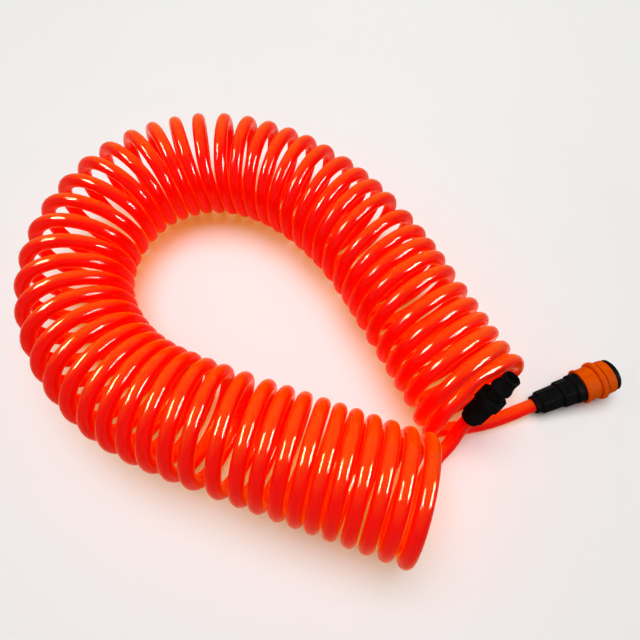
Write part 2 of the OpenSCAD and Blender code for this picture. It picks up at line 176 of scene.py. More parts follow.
class Graph:
    """Node tree of one material, with short calls for the nodes that the finishes use."""

    def __init__(self, name: str) -> None:
        """Makes the material.

        Args:
            name: Name of the material.
        """
        self.material = bpy.data.materials.new(name)
        self.material.use_nodes = True
        self.tree = self.material.node_tree
        self.shader = self.tree.nodes["Principled BSDF"]
        self.place = self.tree.nodes.new("ShaderNodeTexCoord").outputs["Object"]

    def set(self, **values: object) -> None:
        """Sets constants on the shader's own sockets.

        Args:
            values: Socket names with underscores for spaces, and their values.
        """
        for name, value in values.items():
            self.shader.inputs[name.replace("_", " ")].default_value = value

    def link(self, source: NodeSocket, socket: str) -> None:
        """Links a socket to one of the shader's inputs."""
        self.tree.links.new(source, self.shader.inputs[socket])

    def cover(self, share: NodeSocket, over: NodeSocket) -> None:
        """Mixes another shader over the surface's own, by a share."""
        mix_to_output(self.tree, "Material Output", share, self.shader.outputs[0], over)

    def let_lamps_through(self, tint: Triple) -> None:
        """Lets lamp light through the surface, so that a see-through piece throws a coloured shadow.

        Args:
            tint: Share of red, green and blue that passes one wall.
        """
        clear = self.tree.nodes.new("ShaderNodeBsdfTransparent")
        clear.inputs["Color"].default_value = (*tint, 1)
        path = self.tree.nodes.new("ShaderNodeLightPath")
        self.cover(path.outputs["Is Shadow Ray"], clear.outputs[0])

    def fade(self, colour: Triple, start: float, end: float) -> None:
        """Fades the surface into the plain background, away from the object.

        Args:
            colour: Colour of the background.
            start: Distance from the middle at which the fade starts, in metres.
            end: Distance at which only the background is left.
        """
        length = self.tree.nodes.new("ShaderNodeVectorMath")
        length.operation = "LENGTH"
        self.tree.links.new(self.place, length.inputs[0])
        away = self.tree.nodes.new("ShaderNodeMapRange")
        away.interpolation_type = "SMOOTHSTEP"
        away.inputs["From Min"].default_value = start
        away.inputs["From Max"].default_value = end
        self.tree.links.new(length.outputs["Value"], away.inputs["Value"])
        share = combine(self.tree, "MULTIPLY", away.outputs["Result"], looked_at(self.tree))
        plain = self.tree.nodes.new("ShaderNodeEmission")
        plain.inputs["Color"].default_value = (*colour, 1)
        self.cover(share, plain.outputs[0])

    def noise(self, scale: float, detail: float, stretch: Triple = (1, 1, 1)) -> NodeSocket:
        """Adds a noise texture.

        Args:
            scale: Repeats per metre.
            detail: Octaves of the noise.
            stretch: Scale along x, y and z before the noise is read.

        Returns:
            The socket with the noise's value.
        """
        mapping = self.tree.nodes.new("ShaderNodeMapping")
        mapping.inputs["Scale"].default_value = stretch
        texture = self.tree.nodes.new("ShaderNodeTexNoise")
        texture.inputs["Scale"].default_value = scale
        texture.inputs["Detail"].default_value = detail
        self.tree.links.new(self.place, mapping.inputs["Vector"])
        self.tree.links.new(mapping.outputs["Vector"], texture.inputs["Vector"])
        return texture.outputs["Fac"]

    def spread(self, source: NodeSocket, low: float, high: float) -> NodeSocket:
        """Maps the middle of a noise onto a range.

        Args:
            source: Socket with a noise.
            low: Value at the noise's low places.
            high: Value at its high places.

        Returns:
            The socket with the mapped value.
        """
        ramp = self.tree.nodes.new("ShaderNodeMapRange")
        ramp.inputs["From Min"].default_value = NOISE_MIDDLE[0]
        ramp.inputs["From Max"].default_value = NOISE_MIDDLE[1]
        ramp.inputs["To Min"].default_value = low
        ramp.inputs["To Max"].default_value = high
        self.tree.links.new(source, ramp.inputs["Value"])
        return ramp.outputs["Result"]

    def facing(self, way: Triple, shift: NodeSocket) -> NodeSocket:
        """Measures how far the surface faces one way.

        Args:
            way: Unit direction in the part's frame.
            shift: Socket with a small shift that keeps the change uneven.

        Returns:
            The socket with the measure, 1 where the surface faces that way and -1 where it faces away.
        """
        dot = self.tree.nodes.new("ShaderNodeVectorMath")
        dot.operation = "DOT_PRODUCT"
        dot.inputs[1].default_value = way
        self.tree.links.new(self.tree.nodes.new("ShaderNodeNewGeometry").outputs["Normal"], dot.inputs[0])
        return combine(self.tree, "ADD", dot.outputs["Value"], shift)

    def blend(self, source: NodeSocket, low: Triple, high: Triple, ends: Pair = NOISE_MIDDLE) -> NodeSocket:
        """Blends two colours.

        Args:
            source: Socket with a noise or another value.
            low: Colour where the value is low, as linear RGB.
            high: Colour where it is high.
            ends: Values at which the two colours are reached.

        Returns:
            The socket with the colour.
        """
        ramp = self.tree.nodes.new("ShaderNodeValToRGB")
        for stop, end, colour in zip(ramp.color_ramp.elements, ends, (low, high)):
            stop.position = end
            stop.color = (*colour, 1)
        self.tree.links.new(source, ramp.inputs["Fac"])
        return ramp.outputs["Color"]

    def bump(
        self, source: NodeSocket, depth: float, strength: float, under: NodeSocket | None = None
    ) -> NodeSocket:
        """Adds a bump.

        Args:
            source: Socket with the height, from 0 to 1.
            depth: Height of a full step, in metres.
            strength: Share of the bump that shows.
            under: Normal of a bump below this one, if any.

        Returns:
            The socket with the normal.
        """
        node = self.tree.nodes.new("ShaderNodeBump")
        node.inputs["Strength"].default_value = strength
        node.inputs["Distance"].default_value = depth
        self.tree.links.new(source, node.inputs["Height"])
        if under is not None:
            self.tree.links.new(under, node.inputs["Normal"])
        return node.outputs["Normal"]

    def relieve(self, *layers: Relief) -> None:
        """Gives the surface its unevenness.

        Args:
            layers: The layers, coarse to fine, each on the one before.
        """
        normal = None
        for layer in layers:
            normal = self.bump(self.noise(layer.scale, layer.detail), layer.depth, layer.strength, normal)
        self.link(normal, "Normal")


# ---------------------------------------------------------------- finishes


@dataclass(frozen=True)
class HoseFinish:
    """Glossy, slightly see-through orange polyurethane: a soft body under a thin clear skin.

    Attributes:
        painted_lit_colour: Painted light: colour of the sides that face painted_light_from, as linear RGB.
        painted_shade_colour: Painted shade: colour of the other sides.
        painted_light_from: Direction that the sides with painted light face, in the part's frame.
        painted_light_ends: Measures of facing at which the painted shade colour and the painted light colour
            are reached.
        painted_light_wobble: Largest shift of that painted change from place to place.
        painted_light_wobble_scale: Repeats of the shift per metre.
        scatter: Shares of scatter_depth that red, green and blue light travel.
        scatter_depth: How deep light travels in the body, in metres.
        roughness: Lowest and highest roughness of the body.
        polish_scale: Repeats of the roughness per metre.
        index: The body's index of refraction.
        body_gloss: The body's specular level.
        inner_gloss: Metallic share, for light that comes back off the inner wall.
        edge: Colour of the body's gloss.
        skin: Weight of the clear skin.
        skin_roughness: Roughness of the skin.
        skin_index: The skin's index of refraction.
        rim: Colour of the sheen, for light that gathers at the tube's edges.
        rim_level: Weight of the sheen.
        rim_roughness: Roughness of the sheen.
        painted_glow: Colour of painted light that the body gives off though it is no lamp.
        painted_glow_level: Strength of that painted light.
        passes: Share of red, green and blue lamp light that passes one wall.
        waves: Slow unevenness of the drawn tube.
        grain: Fine unevenness of its skin.
    """

    painted_lit_colour: Triple = (0.9, 0.072, 0.0)
    painted_shade_colour: Triple = (0.9, 0.001, 0.0)
    painted_light_from: Triple = (0.0, 0.45, 0.893)
    painted_light_ends: Pair = (0.5, 0.95)
    painted_light_wobble: float = 0.06
    painted_light_wobble_scale: float = 25.0
    scatter: Triple = (1.0, 0.12, 0.02)
    scatter_depth: float = 0.010
    roughness: Pair = (0.08, 0.14)
    polish_scale: float = 140.0
    index: float = 1.19
    body_gloss: float = 0.03
    inner_gloss: float = 0.07
    edge: Triple = (1.0, 0.85, 0.6)
    skin: float = 0.13
    skin_roughness: float = 0.07
    skin_index: float = 1.5
    rim: Triple = (1.0, 0.4, 0.0)
    rim_level: float = 0.4
    rim_roughness: float = 0.3
    painted_glow: Triple = (1.0, 0.02, 0.0)
    painted_glow_level: float = 0.05
    passes: Triple = (0.66, 0.6, 0.14)
    waves: Relief = Relief(70.0, 2.0, 0.0009, 0.12)
    grain: Relief = Relief(900.0, 2.0, 0.00006, 0.2)

    def make(self) -> bpy.types.Material:
        """Makes the material.

        Returns:
            The material.
        """
        g = Graph("hose_polyurethane")
        # Painted light and shade: the base colour is lighter orange on the sides that face painted_light_from
        # and deep red on the others, with a noisy edge between.
        shift = g.spread(g.noise(self.painted_light_wobble_scale, 2.0), -self.painted_light_wobble, self.painted_light_wobble)
        lit = g.facing(self.painted_light_from, shift)
        g.link(g.blend(lit, self.painted_shade_colour, self.painted_lit_colour, self.painted_light_ends), "Base Color")
        g.link(g.spread(g.noise(self.polish_scale, 3.0), *self.roughness), "Roughness")
        # The emission is painted light: the hose gives off a faint red light though it is no lamp.
        g.set(
            IOR=self.index, Specular_IOR_Level=self.body_gloss, Specular_Tint=(*self.edge, 1),
            Metallic=self.inner_gloss,
            Coat_Weight=self.skin, Coat_Roughness=self.skin_roughness, Coat_IOR=self.skin_index,
            Subsurface_Weight=1.0, Subsurface_Radius=self.scatter, Subsurface_Scale=self.scatter_depth,
            Sheen_Weight=self.rim_level, Sheen_Roughness=self.rim_roughness, Sheen_Tint=(*self.rim, 1),
            Emission_Color=(*self.painted_glow, 1), Emission_Strength=self.painted_glow_level,
        )
        g.relieve(self.waves, self.grain)
        g.let_lamps_through(self.passes)
        return g.material


@dataclass(frozen=True)
class MouldedFinish:
    """Injection-moulded plastic or rubber with a fine spark-eroded grain.

    Attributes:
        name: Name of the material.
        low: Darkest colour, as linear RGB.
        high: Lightest colour.
        roughness: Lowest and highest roughness.
        grain: Fine grain of the mould.
        flow: Slow unevenness, from how the melt ran in.
        gloss: Specular level.
        index: Index of refraction.
        mottle_scale: Repeats of the colour per metre.
        polish_scale: Repeats of the roughness per metre.
    """

    name: str
    low: Triple
    high: Triple
    roughness: Pair
    grain: Relief = Relief(5200.0, 2.0, 0.00004, 0.6)
    flow: Relief = Relief(260.0, 2.0, 0.00012, 0.25)
    gloss: float = 0.03
    index: float = 1.12
    mottle_scale: float = 180.0
    polish_scale: float = 420.0

    def make(self) -> bpy.types.Material:
        """Makes the material.

        Returns:
            The material.
        """
        g = Graph(self.name)
        g.link(g.blend(g.noise(self.mottle_scale, 4.0), self.low, self.high), "Base Color")
        g.link(g.spread(g.noise(self.polish_scale, 4.0), *self.roughness), "Roughness")
        g.set(IOR=self.index, Specular_IOR_Level=self.gloss)
        g.relieve(self.flow, self.grain)
        return g.material


@dataclass(frozen=True)
class SteelFinish:
    """Bright drawn spring wire and sheet.

    Attributes:
        low: Darkest colour, as linear RGB.
        high: Lightest colour.
        roughness: Lowest and highest roughness.
        lines: The drawing lines.
        stretch: Scale along x, y and z that draws the lines out.
    """

    low: Triple = (0.52, 0.52, 0.53)
    high: Triple = (0.7, 0.7, 0.71)
    roughness: Pair = (0.18, 0.34)
    lines: Relief = Relief(900.0, 5.0, 0.00002, 0.4)
    stretch: Triple = (1, 1, 9)

    def make(self) -> bpy.types.Material:
        """Makes the material.

        Returns:
            The material.
        """
        g = Graph("spring_steel_bright")
        drawn = g.noise(self.lines.scale, self.lines.detail, self.stretch)
        g.link(g.blend(drawn, self.low, self.high), "Base Color")
        g.link(g.spread(drawn, *self.roughness), "Roughness")
        g.link(g.bump(drawn, self.lines.depth, self.lines.strength), "Normal")
        g.set(Metallic=1.0)
        return g.material


@dataclass(frozen=True)
class FloorFinish:
    """Plain pale table top, which fades into the background far from the object.

    Attributes:
        low: Darkest colour, as linear RGB.
        high: Lightest colour.
        mottle_scale: Repeats of the colour per metre.
        roughness: Its roughness.
        lit_to: Distance from the middle at which the fade starts, in metres.
        far_from: Distance at which only the background is left.
    """

    low: Triple = (0.893, 0.888, 0.872)
    high: Triple = (0.915, 0.911, 0.897)
    mottle_scale: float = 1.4
    roughness: float = 0.8
    lit_to: float = 0.5
    far_from: float = 1.3

    def make(self) -> bpy.types.Material:
        """Makes the material.

        Returns:
            The material.
        """
        g = Graph("table_top")
        g.link(g.blend(g.noise(self.mottle_scale, 2.0), self.low, self.high), "Base Color")
        g.set(Roughness=self.roughness, Specular_IOR_Level=0.0)
        g.fade(BACKGROUND, self.lit_to, self.far_from)
        return g.material


FINISHES = {
    Slot.HOSE: HoseFinish(),
    Slot.BLACK: MouldedFinish("black_moulding", (0.0035, 0.0035, 0.004), (0.007, 0.007, 0.0075), (0.36, 0.5)),
    Slot.ORANGE: MouldedFinish("orange_moulding", (0.66, 0.075, 0.0), (0.74, 0.09, 0.0), (0.42, 0.56)),
    Slot.WHITE: MouldedFinish("white_acetal", (0.76, 0.75, 0.71), (0.83, 0.82, 0.79), (0.3, 0.42)),
    Slot.STEEL: SteelFinish(),
    Slot.RUBBER: MouldedFinish(
        "seal_rubber_matt", (0.018, 0.018, 0.018), (0.03, 0.03, 0.03), (0.55, 0.75),
        grain=Relief(5200.0, 2.0, 0.00003, 0.6),
    ),
}


# ---------------------------------------------------------------- the hose


@dataclass(frozen=True)
class MiddleLine:
    """Middle line of a fitting, in millimetres.

    Attributes:
        start: Where it begins, at the back face of the fitting's nut.
        along: Its direction, away from the hose.
    """

    start: Triple
    along: Triple

    def axes(self) -> tuple[Vector, Vector, Vector]:
        """Finds the directions along and across the line.

        Returns:
            Unit directions along it, level across it and upwards across it.
        """
        way = Vector(self.along).normalized()
        side = way.cross(Vector((0, 0, 1))).normalized()
        return way, side, side.cross(way)

    def point(self, distance: float, offset: Vector) -> Vector:
        """Finds the point at a distance along the line and an offset from it."""
        return Vector(self.start) + self.axes()[0] * distance + offset


SOCKET_LINE = MiddleLine((193.5, -81.0, 10.436), (0.932688, 0.339471, 0.121869))
PLUG_LINE = MiddleLine((127.5, -99.0, 35.5), (0.371572, 0.334565, 0.866025))


def hermite(
    t: np.ndarray, start: np.ndarray, leave: np.ndarray, end: np.ndarray, arrive: np.ndarray
) -> np.ndarray:
    """Goes smoothly from one value to the next.

    Args:
        t: Share of the way, from 0 to 1.
        start: Value at 0.
        leave: Slope at 0.
        end: Value at 1.
        arrive: Slope at 1.

    Returns:
        The values on the way.
    """
    return (
        (2 * t**3 - 3 * t**2 + 1) * start + (t**3 - 2 * t**2 + t) * leave
        + (3 * t**2 - 2 * t**3) * end + (t**3 - t**2) * arrive
    )


def ramp(value: np.ndarray, start: float, end: float) -> np.ndarray:
    """Changes evenly from 0 at the start to 1 at the end, and stays level outside them."""
    return np.clip((value - start) / (end - start), 0, 1)


@dataclass
class HoseRoute:
    """Centreline of the whole hose, in millimetres, from inside the socket's nut to inside the plug's.

    The coil's axis starts straight and then runs round an arch of equal stretches with a bend each. A turn
    is a circle about that axis, and a table of stations says where the outermost point of each lies. Places
    along the axis are distances from its start, and places in the coil are turns from its first station.

    Attributes:
        axis_start: Where the axis starts, in plan.
        axis_heading: Its heading there, in degrees.
        lead_in: Length before the first bend.
        stretch: Length of each bent stretch.
        bends: Bend of each stretch, in degrees to the left.
        axis_span: Lowest and highest place at which the axis is worked out.
        axis_step: Distance between the places at which it is worked out.
        stations: Place of each turn's outermost point.
        radii: Radius of the turns, at places along the axis.
        leans: How far a turn's middle hangs back along the axis, at places along it.
        lean_over: Turns over which the first lean grows.
        flare: How much wider the first turn opens to the sides.
        flare_over: Turns over which the flare grows, from last to first.
        first_dip: How far the coil's start is moved out of the plug's way.
        dip_over: Turns over which that move grows, from last to first.
        first_shift: How far the coil's start is moved along the axis.
        shift_over: Turns before the first station over which that shift grows.
        last_run: Turns after the last station over which the coil still moves along.
        first_turn: Turn at which the free end to the socket leaves the coil.
        last_turn: Turn at which the free end to the plug leaves it.
        per_turn: Points in each turn.
        spare: Room between turns beyond the hose's own width.
        reach: Points on either side of a whole turn that are tested for room.
        rounds: Number of small pushes that make room.
        push: Share of a missing gap that one push makes up, for each of the two turns.
        lift: Share of a push's height that is kept.
        held_at: Places on a fitting's middle line that the hose passes, from its end inside the nut to
            where its bend starts.
        to_socket: Route from the coil to the socket.
        to_plug: Route from the coil to the plug.
        curve_step: Distance between points of the curve through the route.
        ring_step: Distance between the tube's rings.
    """

    axis_start: Pair = (125.8, -83.6)
    axis_heading: float = 117.5
    lead_in: float = 116.0
    stretch: float = 50.0
    bends: tuple[float, ...] = (6, 10, 12, 16, 23, 25, 27, 20, 23, 22, 18, 17, 4.6)
    axis_span: Pair = (-30.0, 980.0)
    axis_step: float = 0.5
    stations: tuple[float, ...] = (
        1.0, 19.5, 36, 50, 65.5, 82, 101, 117, 131, 146, 164.5, 186.5, 203.5, 220, 237.5, 258, 276, 293.5,
        312, 330, 349.5, 370.5, 389, 407, 425, 445, 464.5, 486, 507.5, 528.5, 549.5, 570.5, 591, 611, 631,
        649.5, 667.5, 684.5, 700, 715.5, 731.5, 748.5, 765, 786.5, 804.5, 819.5, 835.5, 850.0, 863.5, 877.5,
        892.0, 905.8, 920.5, 935.5,
    )
    radii: tuple[Pair, ...] = ((0, 43.6), (200, 43.8), (550, 43.8), (650, 44.2), (720, 45.0), (938, 45.0))
    leans: tuple[Pair, ...] = (
        (0, 2.5), (190, 2.5), (300, 2.0), (350, 1.0), (430, 2.0), (550, 0.2), (640, 0.2), (720, 0.4),
        (790, 0.5), (890, 0.4), (938, -0.8),
    )
    lean_over: Pair = (-0.3, 0.3)
    flare: float = 3.5
    flare_over: Pair = (0.7, 0.2)
    first_dip: Triple = (3.4, 3.0, -9.0)
    dip_over: Pair = (0.26, 0.0)
    first_shift: float = 7.2
    shift_over: float = 0.15
    last_run: float = 0.3
    first_turn: float = -0.28
    last_turn: float = 53.1
    per_turn: int = 40
    spare: float = 0.15
    reach: int = 3
    rounds: int = 80
    push: float = 0.25
    lift: float = 0.2
    held_at: tuple[float, ...] = (20.9, 10.0, 0.0, -9.0)
    to_socket: tuple[Triple, ...] = (
        (110.2, -90.8, 79), (100.7, -99.2, 71.6), (94.8, -107.5, 61), (91.4, -110.4, 47.5),
        (91.8, -110.6, 33.5), (98, -107.4, 20), (108.3, -103.1, 10.2), (121, -100.9, 6.5), (132, -100, 6.2),
        (143, -98, 6.2), (164, -92, 6.6),
    )
    to_plug: tuple[Triple, ...] = (
        (71.8, -183.5, 12.5), (80.6, -166, 6.6), (90, -146, 6.2), (98, -133, 6.4), (106, -123, 7.8),
        (112, -119.2, 10.7), (116.8, -112.4, 15.3), (121, -105.7, 20.7),
    )
    curve_step: float = 2.0
    ring_step: float = 6.0

    def axis(self, station: np.ndarray) -> tuple[np.ndarray, np.ndarray]:
        """Finds the coil's axis.

        Args:
            station: Places along the axis.

        Returns:
            The points in plan and the headings in radians.
        """
        s = np.arange(*self.axis_span, self.axis_step)
        ends = np.cumsum([0.0, self.lead_in, *[self.stretch] * len(self.bends)])
        turned = np.radians(np.cumsum([0.0, 0.0, *self.bends]))
        heading = math.radians(self.axis_heading) + np.interp(s, ends, turned)
        middle = (heading[1:] + heading[:-1]) / 2
        step = np.stack([np.cos(middle), np.sin(middle)], 1) * self.axis_step
        points = np.vstack([[0.0, 0.0], np.cumsum(step, 0)])
        origin = [np.interp(0.0, s, points[:, c]) for c in (0, 1)]
        plan = [np.interp(station, s, points[:, c]) - origin[c] + self.axis_start[c] for c in (0, 1)]
        return np.stack(plan, 1), np.interp(station, s, heading)

    def station(self, turn: np.ndarray) -> np.ndarray:
        """Reads the table of stations between whole turns, without overshoot.

        Args:
            turn: Turn numbers.

        Returns:
            The places along the axis.
        """
        table = np.array(self.stations)
        gap = np.diff(table)
        slope = np.concatenate([[gap[0]], 2 / (1 / gap[1:] + 1 / gap[:-1]), [gap[-1]]])
        i = np.clip(np.floor(turn).astype(int), 0, len(gap) - 1)
        inside = hermite(turn - i, table[i], slope[i], table[i + 1], slope[i + 1])
        before = table[0] + self.first_shift * ramp(turn, 0.0, -self.shift_over)
        last = len(table) - 1
        after = table[-1] + slope[-1] * np.minimum(turn - last, self.last_run)
        return np.where(turn < 0, before, np.where(turn > last, after, inside))

    def turns(self) -> np.ndarray:
        """Makes the coil's turns, each leaning a little and none cutting into the next.

        Returns:
            Points, per_turn to a turn.
        """
        first = math.ceil(self.first_turn * self.per_turn)
        n = np.arange(first, int(self.last_turn * self.per_turn) + 1) / self.per_turn
        s = self.station(n)
        plan, heading = self.axis(s)
        angle = -2 * math.pi * n
        at, lean = zip(*self.leans)
        tip = np.interp(s, at, lean) * ramp(n, *self.lean_over) * (np.cos(angle) - 1)
        at, radius = zip(*self.radii)
        radius = np.interp(s, at, radius)
        side = (radius + self.flare * ramp(n, *self.flare_over)) * np.cos(angle)
        x = plan[:, 0] + side * np.sin(heading) + tip * np.cos(heading)
        y = plan[:, 1] - side * np.cos(heading) + tip * np.sin(heading)
        z = HOSE_WIDTH / 2 + radius * (1 + np.sin(angle))
        dip = ramp(n, *self.dip_over)
        dip = (dip * dip * (3 - 2 * dip))[:, None]
        return self.pushed_apart(np.stack([x, y, z], 1) + dip * self.first_dip)

    def pushed_apart(self, points: np.ndarray) -> np.ndarray:
        """Pushes turns that are closer than the hose is wide apart, a little at a time.

        Args:
            points: The coil's points.

        Returns:
            The moved points.
        """
        points = points.copy()
        gap = HOSE_WIDTH + self.spare
        weights = np.array([1, 2, 3, 4, 3, 2, 1]) / 16
        for _ in range(self.rounds):
            move = np.zeros_like(points)
            for ahead in range(self.per_turn - self.reach, self.per_turn + self.reach + 1):
                apart = points[ahead:] - points[:-ahead]
                far = np.linalg.norm(apart, axis=1)
                push = np.where(far < gap, (gap - far) / far * self.push, 0)[:, None] * apart
                move[ahead:] += push
                move[:-ahead] -= push
            for c, share in enumerate((1.0, 1.0, self.lift)):
                points[:, c] += np.convolve(move[:, c], weights, "same") * share
            points[:, 2] = np.maximum(points[:, 2], HOSE_WIDTH / 2)
        return points

    def curve(self, route: np.ndarray) -> np.ndarray:
        """Draws a smooth curve through a route, even where its points are unevenly spaced.

        Args:
            route: Points that the curve passes.

        Returns:
            The curve's points.
        """
        out = []
        ends = np.vstack([2 * route[0] - route[1], route, 2 * route[-1] - route[-2]])
        for a, b, c, d in zip(ends, ends[1:], ends[2:], ends[3:]):
            ta, tb, tc = (math.sqrt(np.linalg.norm(q - p)) for p, q in ((a, b), (b, c), (c, d)))
            leave = tb * ((b - a) / ta - (c - a) / (ta + tb) + (c - b) / tb)
            arrive = tb * ((c - b) / tb - (d - b) / (tb + tc) + (d - c) / tc)
            count = max(1, round(float(np.linalg.norm(c - b)) / self.curve_step))
            out.append(hermite((np.arange(count) / count)[:, None], b, leave, c, arrive))
        return np.vstack([*out, route[-1:]])

    def points(self) -> np.ndarray:
        """Joins the free ends and the coil.

        Returns:
            Evenly spaced points along the whole hose, in metres.
        """
        in_socket, in_plug = (
            [np.array(line.start) + k * np.array(line.along) for k in self.held_at]
            for line in (SOCKET_LINE, PLUG_LINE)
        )
        route = np.vstack([in_socket, self.to_socket[::-1], self.turns(), self.to_plug, in_plug[::-1]])
        fine = self.curve(route)
        far = np.concatenate([[0.0], np.cumsum(np.linalg.norm(np.diff(fine, axis=0), axis=1))])
        even = np.linspace(0, far[-1], round(far[-1] / self.ring_step))
        line = np.stack([np.interp(even, far, fine[:, c]) for c in range(3)], 1)
        soft = line.copy()
        weights = np.array([1, 4, 6, 4, 1]) / 16
        for c in range(3):
            soft[2:-2, c] = np.convolve(line[:, c], weights, "valid")
        return soft * MM


def put_in_place(
    name: str, mesh: bpy.types.Mesh, material: bpy.types.Material, slot: Slot, body: Body, *nodes: str
) -> bpy.types.Object:
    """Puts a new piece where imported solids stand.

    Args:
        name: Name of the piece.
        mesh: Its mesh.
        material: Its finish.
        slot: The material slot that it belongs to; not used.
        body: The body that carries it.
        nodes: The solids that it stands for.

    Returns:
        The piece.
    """
    piece = bpy.data.objects.new(name, mesh)
    bpy.context.scene.collection.objects.link(piece)
    mesh.materials.append(material)
    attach(piece, body.value)
    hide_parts(*nodes)
    return piece


@dataclass
class Hose:
    """The hose itself: one tube with an open bore at both ends, in metres.

    Attributes:
        route: Its centreline.
        radius: Its radius.
        gripped: Its radius where the fittings grip it.
        gripped_rings: Rings at each end that are gripped.
        bore: Radius of the bore.
        bore_rings: Rings at each end that the bore is open for.
        sides: Corners of each ring.
        sharp_angle: Angle from which an edge shows as an edge, in degrees.
        said_length: Length that the hose is said to have, in metres; not used.
        line: Points of the centreline, once it is built.
        piece: The hose, once it is built.
    """

    route: HoseRoute = field(default_factory=HoseRoute)
    radius: float = HOSE_WIDTH * MM / 2
    gripped: float = 0.006
    gripped_rings: int = 6
    bore: float = 0.004
    bore_rings: int = 6
    sides: int = 24
    sharp_angle: float = 40.0
    said_length: float = 15.1
    line: np.ndarray | None = field(init=False, default=None)
    piece: bpy.types.Object | None = field(init=False, default=None)

    def frames(self, line: np.ndarray) -> tuple[np.ndarray, np.ndarray]:
        """Carries a pair of cross directions along the line without twist.

        Args:
            line: Points of the centreline.

        Returns:
            Two unit directions across the line at each point.
        """
        along = np.gradient(line, axis=0)
        along /= np.linalg.norm(along, axis=1)[:, None]
        across = np.cross(along[0], (0.0, 0.0, 1.0))
        first = np.empty_like(line)
        for i, t in enumerate(along):
            across = across - (across @ t) * t
            across /= np.linalg.norm(across)
            first[i] = across
        return first, np.cross(along, first)

    def rings(self, line: np.ndarray) -> np.ndarray:
        """Works out the tube's rings: up one bore, along the outside, and back down the other bore.

        Args:
            line: Points of the centreline.

        Returns:
            The corners of each ring.
        """
        u, v = self.frames(line)
        last = len(line) - 1
        order = [(i, self.bore) for i in range(self.bore_rings, -1, -1)]
        order += [(i, self.radius) for i in range(last + 1)]
        order += [(i, self.bore) for i in range(last, last - self.bore_rings - 1, -1)]
        at = np.array([i for i, _ in order])
        held = np.minimum(at, last - at) < self.gripped_rings
        size = np.array([r for _, r in order])
        size = np.where(held & (size > self.gripped), self.gripped, size)[:, None, None]
        angle = (2 * math.pi * np.arange(self.sides) / self.sides)[None, :, None]
        return line[at][:, None] + size * (
            np.cos(angle) * u[at][:, None] + np.sin(angle) * v[at][:, None]
        )

    def tube(self, line: np.ndarray) -> bpy.types.Mesh:
        """Makes the tube's mesh, closed inside both bores.

        Args:
            line: Points of the centreline.

        Returns:
            The mesh.
        """
        rings = self.rings(line)
        here = np.arange(self.sides)
        beside = (here + 1) % self.sides
        step = np.arange(len(rings) - 1)[:, None] * self.sides
        ahead = step + self.sides
        faces = np.stack([step + here, ahead + here, ahead + beside, step + beside], 2).reshape(-1, 4)
        top = (len(rings) - 1) * self.sides
        caps = [list(range(self.sides)), [top + i for i in range(self.sides - 1, -1, -1)]]
        mesh = bpy.data.meshes.new("hose")
        mesh.from_pydata(rings.reshape(-1, 3).tolist(), [], faces.tolist() + caps)
        mesh.polygons.foreach_set("use_smooth", [True] * len(mesh.polygons))
        shape = bmesh.new()
        shape.from_mesh(mesh)
        bmesh.ops.recalc_face_normals(shape, faces=shape.faces)
        shape.to_mesh(mesh)
        shape.free()
        mesh.set_sharp_from_angle(angle=math.radians(self.sharp_angle))
        return mesh

    def build(self, material: bpy.types.Material) -> None:
        """Makes the hose in place of its three solids.

        Args:
            material: The hose's finish.
        """
        self.line = self.route.points()
        self.piece = put_in_place(
            "air_hose", self.tube(self.line), material, Slot.HOSE, Body.FIXED,
            "hose_coil", "hose_end_socket", "hose_end_plug",
        )
        log.info("air_hose: %d points", len(self.line))


# ---------------------------------------------------------------- the fittings


def join_rings(shape: bmesh.types.BMesh, rings: list[list[bmesh.types.BMVert]]) -> None:
    """Joins each ring of corners to the next with smooth faces.

    Args:
        shape: The shape that holds the corners.
        rings: The rings, with as many corners each.
    """
    for this, after in zip(rings, rings[1:]):
        for k in range(len(this)):
            shape.faces.new((this[k - 1], this[k], after[k], after[k - 1])).smooth = True


def finished_mesh(name: str, shape: bmesh.types.BMesh) -> bpy.types.Mesh:
    """Turns a shape's faces outwards and makes its mesh.

    Args:
        name: Name of the mesh.
        shape: The shape, which is freed.

    Returns:
        The mesh.
    """
    bmesh.ops.recalc_face_normals(shape, faces=shape.faces)
    mesh = bpy.data.meshes.new(name)
    shape.to_mesh(mesh)
    shape.free()
    return mesh


@dataclass
class Turned:
    """A ring turned round the socket's middle line, with every edge rounded.

    Attributes:
        node: The solid that it stands for.
        slot: The material slot whose finish it gets.
        body: The body that carries it.
        profile: Corners once round the ring's section: distance along the middle line, distance from it and
            rounding of the edge there, all in millimetres.
        around: Sections round the ring.
        arc: Points in each rounding.
        most_cut: Largest share of the way to the next corner that a rounding takes.
    """

    node: str
    slot: Slot
    body: Body
    profile: tuple[Triple, ...]
    around: int = 160
    arc: int = 5
    most_cut: float = 0.49

    def section(self) -> np.ndarray:
        """Rounds the profile's edges.

        Returns:
            Points along the socket and away from its middle line, closed.
        """
        corners = np.array(self.profile, float)
        out = []
        for i, (z, r, rounding) in enumerate(corners):
            here = np.array((z, r))
            back, ahead = corners[i - 1][:2] - here, corners[(i + 1) % len(corners)][:2] - here
            cut = min(rounding, self.most_cut * min(np.linalg.norm(back), np.linalg.norm(ahead)))
            start, end = here + back / np.linalg.norm(back) * cut, here + ahead / np.linalg.norm(ahead) * cut
            for step in np.linspace(0, 1, self.arc):
                out.append((1 - step) ** 2 * start + 2 * step * (1 - step) * here + step**2 * end)
        return np.array(out)

    def build(self, line: MiddleLine, material: bpy.types.Material) -> bpy.types.Object:
        """Makes the ring in place of its solid.

        Args:
            line: The socket's middle line.
            material: The ring's finish.

        Returns:
            The ring.
        """
        section = self.section()
        _, side, up = line.axes()
        shape = bmesh.new()
        rows = []
        for turn in range(self.around):
            angle = math.tau * turn / self.around
            out = side * math.cos(angle) + up * math.sin(angle)
            rows.append([shape.verts.new(line.point(z, out * r) * MM) for z, r in section])
        join_rings(shape, rows + rows[:1])
        name = f"turned_{self.node}"
        piece = put_in_place(name, finished_mesh(name, shape), material, self.slot, self.body, self.node)
        log.info("socket: %s turned, %d points in its section", self.node, len(section))
        return piece


